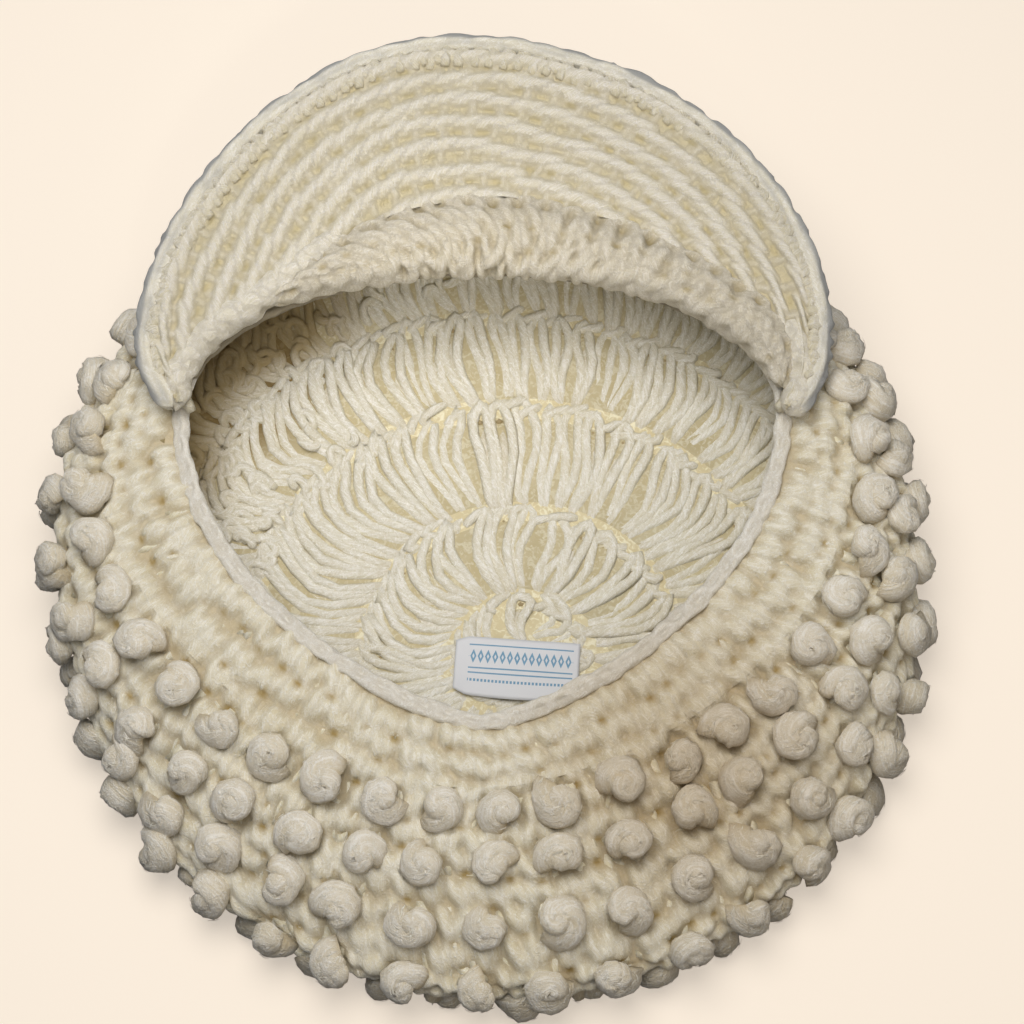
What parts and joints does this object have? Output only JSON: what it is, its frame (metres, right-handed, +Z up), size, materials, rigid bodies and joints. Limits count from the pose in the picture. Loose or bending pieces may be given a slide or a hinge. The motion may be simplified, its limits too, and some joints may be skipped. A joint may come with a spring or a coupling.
{
  "type": "crocheted tam with a peak",
  "caption": "Thick crocheted tam covered in curl bobbles, with a plain headband and a soft wide peak, lying on its crown with the head opening up.",
  "frame": {"origin": "on the surface that the hat lies on, below the middle of the whole outline", "axes": "+Z up out of the head opening, +Y towards the front of the hat where the peak is, +X to the right in the picture"},
  "size_m": [0.2958, 0.3174, 0.0639],
  "materials": {
    "bobble_crochet": "cream bulky acrylic yarn in rounds of bobbles, soft sheen, yellower in the crevices",
    "plain_crochet": "cream bulky acrylic yarn in plain single crochet",
    "edging_chain": "cream acrylic yarn in a tight chain of slip stitches",
    "peak_crochet": "cream bulky acrylic yarn in firm rows, two layers thick",
    "hem_crochet": "cream bulky acrylic yarn, turned in and puffed",
    "label_satin": "white woven satin tape with thin blue lines"
  },
  "bodies": {
    "root": {"crown": "bobble_crochet", "headband": "plain_crochet", "opening_edging": "edging_chain", "peak": "peak_crochet", "peak_hem": "hem_crochet", "peak_edging": "edging_chain", "label": "label_satin"}
  },
  "joints": []
}
